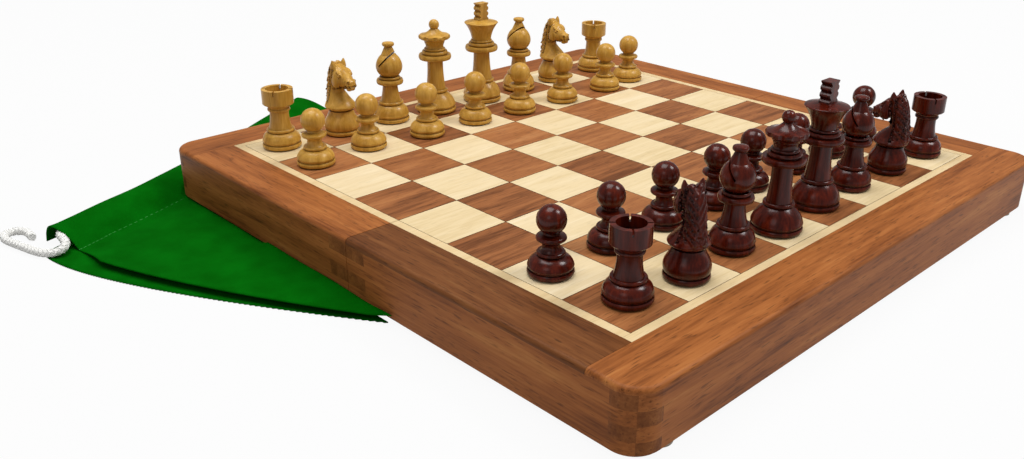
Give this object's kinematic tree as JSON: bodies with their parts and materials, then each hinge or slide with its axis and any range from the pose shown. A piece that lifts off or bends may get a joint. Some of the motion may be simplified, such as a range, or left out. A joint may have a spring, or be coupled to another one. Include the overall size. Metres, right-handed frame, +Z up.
{
  "type": "chess set with board",
  "caption": "Folding wooden chess box opened flat as a board, with turned light and dark pieces set up on it and a cloth drawstring bag beside it.",
  "frame": {"origin": "on the table under the middle of the open board, on the line of the seam", "axes": "+Z up, X along the seam with the bag's open end towards -X, +Y towards the light pieces' side"},
  "size_m": [0.3935, 0.3894, 0.0823],
  "materials": {
    "rail_wood": "satin lacquer",
    "border_wood": "satin lacquer",
    "panel_wood": "plain sanded",
    "light_square_wood": "satin lacquer",
    "dark_square_wood": "satin lacquer",
    "inlay_wood": "satin lacquer",
    "light_piece_wood": "gloss polish",
    "dark_piece_wood": "gloss polish",
    "pad_felt": "felt",
    "magnet_plating": "nickel plated",
    "hinge_brass": "satin",
    "bag_cloth": "brushed cloth",
    "cord_cotton": "braided"
  },
  "bodies": {
    "white_half": {"white_half_border": "border_wood", "white_half_dark_squares": "dark_square_wood", "white_half_hinge_leaves": "hinge_brass", "white_half_hinge_screws": "hinge_brass", "white_half_inlay": "inlay_wood", "white_half_light_squares": "light_square_wood", "white_half_magnets": "magnet_plating", "white_half_outer_rail": "rail_wood", "white_half_pads": "pad_felt", "white_half_panel": "panel_wood", "white_half_seam_rail": "rail_wood", "white_half_side_rails": "rail_wood", "hinge_pins": "hinge_brass"},
    "black_half": {"black_half_border": "border_wood", "black_half_dark_squares": "dark_square_wood", "black_half_hinge_leaves": "hinge_brass", "black_half_hinge_screws": "hinge_brass", "black_half_inlay": "inlay_wood", "black_half_light_squares": "light_square_wood", "black_half_magnets": "magnet_plating", "black_half_outer_rail": "rail_wood", "black_half_pads": "pad_felt", "black_half_panel": "panel_wood", "black_half_seam_rail": "rail_wood", "black_half_side_rails": "rail_wood"},
    "bag": {"cloth_bag": "bag_cloth", "drawstring": "cord_cotton"},
    "black_bishop_c": {"black_bishop_c": "dark_piece_wood"},
    "black_bishop_f": {"black_bishop_f": "dark_piece_wood"},
    "black_king_d": {"black_king_d": "dark_piece_wood"},
    "black_knight_b": {"black_knight_b": "dark_piece_wood"},
    "black_knight_g": {"black_knight_g": "dark_piece_wood"},
    "black_pawn_a": {"black_pawn_a": "dark_piece_wood"},
    "black_pawn_b": {"black_pawn_b": "dark_piece_wood"},
    "black_pawn_c": {"black_pawn_c": "dark_piece_wood"},
    "black_pawn_d": {"black_pawn_d": "dark_piece_wood"},
    "black_pawn_e": {"black_pawn_e": "dark_piece_wood"},
    "black_pawn_f": {"black_pawn_f": "dark_piece_wood"},
    "black_pawn_g": {"black_pawn_g": "dark_piece_wood"},
    "black_pawn_h": {"black_pawn_h": "dark_piece_wood"},
    "black_queen_e": {"black_queen_e": "dark_piece_wood"},
    "black_rook_a": {"black_rook_a": "dark_piece_wood"},
    "black_rook_h": {"black_rook_h": "dark_piece_wood"},
    "white_bishop_c": {"white_bishop_c": "light_piece_wood"},
    "white_bishop_f": {"white_bishop_f": "light_piece_wood"},
    "white_king_d": {"white_king_d": "light_piece_wood"},
    "white_knight_b": {"white_knight_b": "light_piece_wood"},
    "white_knight_g": {"white_knight_g": "light_piece_wood"},
    "white_pawn_a": {"white_pawn_a": "light_piece_wood"},
    "white_pawn_b": {"white_pawn_b": "light_piece_wood"},
    "white_pawn_c": {"white_pawn_c": "light_piece_wood"},
    "white_pawn_d": {"white_pawn_d": "light_piece_wood"},
    "white_pawn_e": {"white_pawn_e": "light_piece_wood"},
    "white_pawn_f": {"white_pawn_f": "light_piece_wood"},
    "white_pawn_g": {"white_pawn_g": "light_piece_wood"},
    "white_pawn_h": {"white_pawn_h": "light_piece_wood"},
    "white_queen_e": {"white_queen_e": "light_piece_wood"},
    "white_rook_a": {"white_rook_a": "light_piece_wood"},
    "white_rook_h": {"white_rook_h": "light_piece_wood"}
  },
  "joints": [
    {"name": "board_fold", "type": "hinge", "parent": "white_half", "child": "black_half", "pos_m": [0, 0, 0.0012], "axis": [1, 0, 0], "range_deg": [0, 178.8]},
    {"name": "bag_pull_out", "type": "slide", "parent": "white_half", "child": "bag", "axis": [-0.522, 0.853, 0], "range_m": [0, 0.23]},
    {"name": "lift_black_bishop_c", "type": "slide", "parent": "black_half", "child": "black_bishop_c", "axis": [0, 0, 1], "range_m": [0, 0.06]},
    {"name": "lift_black_bishop_f", "type": "slide", "parent": "black_half", "child": "black_bishop_f", "axis": [0, 0, 1], "range_m": [0, 0.06]},
    {"name": "lift_black_king_d", "type": "slide", "parent": "black_half", "child": "black_king_d", "axis": [0, 0, 1], "range_m": [0, 0.06]},
    {"name": "lift_black_knight_b", "type": "slide", "parent": "black_half", "child": "black_knight_b", "axis": [0, 0, 1], "range_m": [0, 0.06]},
    {"name": "lift_black_knight_g", "type": "slide", "parent": "black_half", "child": "black_knight_g", "axis": [0, 0, 1], "range_m": [0, 0.06]},
    {"name": "lift_black_pawn_a", "type": "slide", "parent": "black_half", "child": "black_pawn_a", "axis": [0, 0, 1], "range_m": [0, 0.06]},
    {"name": "lift_black_pawn_b", "type": "slide", "parent": "black_half", "child": "black_pawn_b", "axis": [0, 0, 1], "range_m": [0, 0.06]},
    {"name": "lift_black_pawn_c", "type": "slide", "parent": "black_half", "child": "black_pawn_c", "axis": [0, 0, 1], "range_m": [0, 0.06]},
    {"name": "lift_black_pawn_d", "type": "slide", "parent": "black_half", "child": "black_pawn_d", "axis": [0, 0, 1], "range_m": [0, 0.06]},
    {"name": "lift_black_pawn_e", "type": "slide", "parent": "black_half", "child": "black_pawn_e", "axis": [0, 0, 1], "range_m": [0, 0.06]},
    {"name": "lift_black_pawn_f", "type": "slide", "parent": "black_half", "child": "black_pawn_f", "axis": [0, 0, 1], "range_m": [0, 0.06]},
    {"name": "lift_black_pawn_g", "type": "slide", "parent": "black_half", "child": "black_pawn_g", "axis": [0, 0, 1], "range_m": [0, 0.06]},
    {"name": "lift_black_pawn_h", "type": "slide", "parent": "black_half", "child": "black_pawn_h", "axis": [0, 0, 1], "range_m": [0, 0.06]},
    {"name": "lift_black_queen_e", "type": "slide", "parent": "black_half", "child": "black_queen_e", "axis": [0, 0, 1], "range_m": [0, 0.06]},
    {"name": "lift_black_rook_a", "type": "slide", "parent": "black_half", "child": "black_rook_a", "axis": [0, 0, 1], "range_m": [0, 0.06]},
    {"name": "lift_black_rook_h", "type": "slide", "parent": "black_half", "child": "black_rook_h", "axis": [0, 0, 1], "range_m": [0, 0.06]},
    {"name": "lift_white_bishop_c", "type": "slide", "parent": "white_half", "child": "white_bishop_c", "axis": [0, 0, 1], "range_m": [0, 0.06]},
    {"name": "lift_white_bishop_f", "type": "slide", "parent": "white_half", "child": "white_bishop_f", "axis": [0, 0, 1], "range_m": [0, 0.06]},
    {"name": "lift_white_king_d", "type": "slide", "parent": "white_half", "child": "white_king_d", "axis": [0, 0, 1], "range_m": [0, 0.06]},
    {"name": "lift_white_knight_b", "type": "slide", "parent": "white_half", "child": "white_knight_b", "axis": [0, 0, 1], "range_m": [0, 0.06]},
    {"name": "lift_white_knight_g", "type": "slide", "parent": "white_half", "child": "white_knight_g", "axis": [0, 0, 1], "range_m": [0, 0.06]},
    {"name": "lift_white_pawn_a", "type": "slide", "parent": "white_half", "child": "white_pawn_a", "axis": [0, 0, 1], "range_m": [0, 0.06]},
    {"name": "lift_white_pawn_b", "type": "slide", "parent": "white_half", "child": "white_pawn_b", "axis": [0, 0, 1], "range_m": [0, 0.06]},
    {"name": "lift_white_pawn_c", "type": "slide", "parent": "white_half", "child": "white_pawn_c", "axis": [0, 0, 1], "range_m": [0, 0.06]},
    {"name": "lift_white_pawn_d", "type": "slide", "parent": "white_half", "child": "white_pawn_d", "axis": [0, 0, 1], "range_m": [0, 0.06]},
    {"name": "lift_white_pawn_e", "type": "slide", "parent": "white_half", "child": "white_pawn_e", "axis": [0, 0, 1], "range_m": [0, 0.06]},
    {"name": "lift_white_pawn_f", "type": "slide", "parent": "white_half", "child": "white_pawn_f", "axis": [0, 0, 1], "range_m": [0, 0.06]},
    {"name": "lift_white_pawn_g", "type": "slide", "parent": "white_half", "child": "white_pawn_g", "axis": [0, 0, 1], "range_m": [0, 0.06]},
    {"name": "lift_white_pawn_h", "type": "slide", "parent": "white_half", "child": "white_pawn_h", "axis": [0, 0, 1], "range_m": [0, 0.06]},
    {"name": "lift_white_queen_e", "type": "slide", "parent": "white_half", "child": "white_queen_e", "axis": [0, 0, 1], "range_m": [0, 0.06]},
    {"name": "lift_white_rook_a", "type": "slide", "parent": "white_half", "child": "white_rook_a", "axis": [0, 0, 1], "range_m": [0, 0.06]},
    {"name": "lift_white_rook_h", "type": "slide", "parent": "white_half", "child": "white_rook_h", "axis": [0, 0, 1], "range_m": [0, 0.06]}
  ]
}
